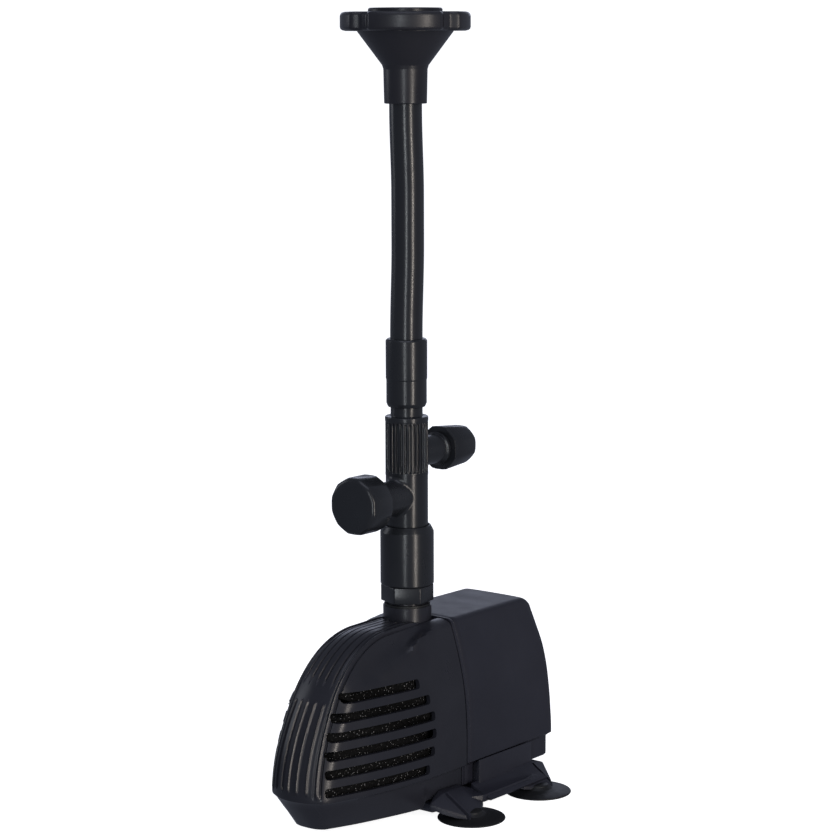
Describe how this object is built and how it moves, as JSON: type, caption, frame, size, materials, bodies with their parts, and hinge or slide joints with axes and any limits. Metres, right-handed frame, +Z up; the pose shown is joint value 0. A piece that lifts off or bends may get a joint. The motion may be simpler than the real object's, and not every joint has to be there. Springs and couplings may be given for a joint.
{
  "type": "fountain submersible pump",
  "caption": "Compact black pond pump with a slotted strainer nose, suction feet, and a riser with a capped tee, regulating knob and bell-shaped fountain nozzle.",
  "frame": {"origin": "on the floor, under the riser's axis, which is also the middle of the footprint", "axes": "+Z up along the riser; -Y towards the strainer nose; the rotor turns about a line parallel to Y"},
  "size_m": [0.1178, 0.174, 0.3958],
  "materials": {
    "housing_plastic": "fine-grained moulded black",
    "cage_plastic": "satin moulded black",
    "fitting_plastic": "semi-gloss moulded black",
    "tube_plastic": "extruded black, faint lengthwise draw lines",
    "nozzle_plastic": "semi-gloss moulded black",
    "inner_plastic": "natural moulded engineering plastic",
    "rubber": "soft matt black",
    "foam": "open-cell black filter foam",
    "resin": "cast black epoxy",
    "lamination_steel": "stacked electrical steel",
    "copper_wire": "enamelled copper",
    "bright_steel": "stainless",
    "white_ceramic": "ground white ceramic",
    "ferrite": "sintered ferrite"
  },
  "bodies": {
    "pump_base": {"motor_housing": "housing_plastic", "potting_resin": "resin", "rotor_can": "inner_plastic", "stator_core": "lamination_steel", "coil_bobbin_left": "inner_plastic", "coil_bobbin_right": "inner_plastic", "coil_winding_left": "copper_wire", "coil_winding_right": "copper_wire", "ceramic_shaft": "white_ceramic", "rear_bush": "rubber", "front_bush": "rubber", "pump_chamber": "cage_plastic", "chamber_cover": "cage_plastic", "chamber_o_ring": "rubber", "chamber_screws": "bright_steel", "adapter_seal": "rubber", "lower_adapter": "fitting_plastic", "base_bracket": "cage_plastic", "suction_cup_front_left": "rubber", "suction_cup_front_right": "rubber", "suction_cup_rear_left": "rubber", "suction_cup_rear_right": "rubber", "cable_gland": "housing_plastic", "cable_grommet": "rubber"},
    "rotor": {"rotor_magnet": "ferrite", "impeller": "inner_plastic"},
    "cage": {"strainer_cage": "cage_plastic", "intake_foam": "foam"},
    "telescope": {"telescope_seal": "rubber"},
    "riser": {"tee_body": "fitting_plastic", "upper_coupling": "fitting_plastic", "coupling_seal": "rubber", "riser_tube": "tube_plastic"},
    "valve": {"valve_spindle": "fitting_plastic", "spindle_o_ring": "rubber", "flow_knob": "fitting_plastic"},
    "cap_travel": {"side_cap_washer": "rubber"},
    "cap": {"side_cap": "fitting_plastic"},
    "nozzle": {"nozzle_bell": "nozzle_plastic", "nozzle_gasket": "rubber", "spray_plate": "nozzle_plastic", "nozzle_cap": "nozzle_plastic"}
  },
  "joints": [
    {"name": "rotor_spin", "type": "hinge", "parent": "pump_base", "child": "rotor", "pos_m": [0, 0.035, 0.056], "axis": [0, 1, 0], "continuous": true},
    {"name": "cage_slide", "type": "slide", "parent": "pump_base", "child": "cage", "axis": [0, -1, 0], "range_m": [0, 0.1]},
    {"name": "telescope_slide", "type": "slide", "parent": "pump_base", "child": "telescope", "axis": [0, 0, 1], "range_m": [0, 0.015]},
    {"name": "riser_swivel", "type": "hinge", "parent": "telescope", "child": "riser", "pos_m": [0, 0, 0.13], "axis": [0, 0, 1], "continuous": true},
    {"name": "flow_knob_turn", "type": "hinge", "parent": "riser", "child": "valve", "pos_m": [0, 0.02, 0.1776], "axis": [0, 1, 0], "range_deg": [0, 90]},
    {"name": "cap_lift", "type": "slide", "parent": "riser", "child": "cap_travel", "axis": [0, -1, 0], "range_m": [0, 0.005]},
    {"name": "cap_unscrew", "type": "hinge", "parent": "cap_travel", "child": "cap", "pos_m": [0, -0.035, 0.1574], "axis": [0, -1, 0], "range_deg": [0, 722]},
    {"name": "nozzle_turn", "type": "hinge", "parent": "riser", "child": "nozzle", "pos_m": [0, 0, 0.36], "axis": [0, 0, 1], "continuous": true}
  ],
  "couplings": [
    {"joint": "cap_unscrew", "follows": "cap_lift", "rad_per_m": 2513.3}
  ]
}
